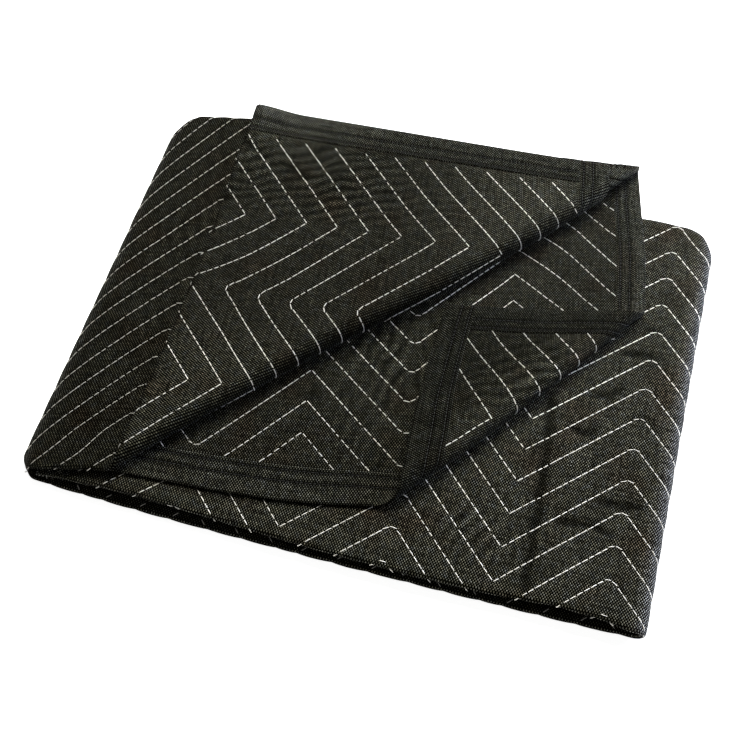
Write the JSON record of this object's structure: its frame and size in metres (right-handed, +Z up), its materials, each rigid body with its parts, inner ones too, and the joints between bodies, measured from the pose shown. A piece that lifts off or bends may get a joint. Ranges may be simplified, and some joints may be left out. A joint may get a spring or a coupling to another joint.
{
  "type": "folded moving pad",
  "caption": "Charcoal quilted moving pad with zigzag stitching and bound edges, letter-folded into a flat parcel with its top corner turned back, for wrapping furniture.",
  "frame": {"origin": "middle of the folded parcel on the plane that it rests on", "axes": "+X along the parcel's length, towards its right fold; +Y from the front fold to the back fold; +Z up"},
  "size_m": [0.6137, 0.5203, 0.0508],
  "materials": {
    "quilted_cloth": "matte woven charcoal cloth with white zigzag stitching",
    "binding": "matte black woven tape"
  },
  "bodies": {
    "root": {"quilted_panel": "quilted_cloth", "binding_front": "binding", "binding_inner": "binding", "binding_end": "binding", "binding_tucked": "binding"}
  },
  "joints": []
}
